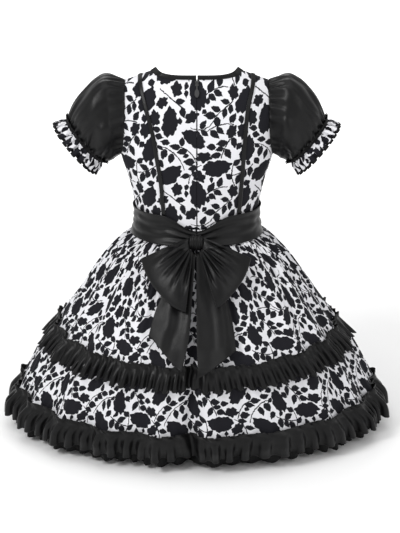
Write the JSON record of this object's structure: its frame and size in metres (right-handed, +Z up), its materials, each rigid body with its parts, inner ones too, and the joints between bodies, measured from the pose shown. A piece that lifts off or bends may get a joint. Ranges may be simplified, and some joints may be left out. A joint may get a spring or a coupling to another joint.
{
  "type": "folk dress",
  "caption": "Girl's folk dress with puff sleeves, a sash tied in a bow behind and two gathered tiers edged with dark ruffles.",
  "frame": {"origin": "on the centre line where the dress hangs from the wearer's shoulders, level with the top of the neck", "axes": "+Z up, the front of the dress faces -Y, +X towards the wearer's left"},
  "size_m": [0.704, 0.5228, 0.6538],
  "materials": {
    "printed_cotton": "matt plain weave with a black print of roses and leaves",
    "black_satin": "soft satin sheen",
    "black_trim": "matt",
    "black_enamel": "enamelled"
  },
  "bodies": {
    "dress": {"bodice_front": "printed_cotton", "bodice_back_left": "printed_cotton", "bodice_back_right": "printed_cotton", "neck_binding": "black_satin", "ribbon_left": "black_satin", "ribbon_right": "black_satin", "skirt_upper_front": "printed_cotton", "skirt_upper_back": "printed_cotton", "skirt_lower_front": "printed_cotton", "skirt_lower_back": "printed_cotton", "ruffle_upper": "black_satin", "ruffle_lower": "black_satin", "hem_under_frill": "black_trim", "sleeve_left": "black_satin", "sleeve_right": "black_satin", "cuff_ruffle_left": "printed_cotton", "cuff_ruffle_right": "printed_cotton", "sash_front": "black_satin", "sash_back_left": "black_satin", "sash_back_right": "black_satin", "bow_knot": "black_satin", "bow_loop_left": "black_satin", "bow_loop_right": "black_satin", "bow_tail_left": "black_satin", "bow_tail_right": "black_satin", "zip_slider": "black_enamel"},
    "pull": {"zip_pull": "black_enamel"}
  },
  "joints": [
    {"name": "zip_pull_swing", "type": "hinge", "parent": "dress", "child": "pull", "pos_m": [0, 0.04194, -0.01632], "axis": [1, 0, 0], "range_deg": [0, 150]}
  ]
}
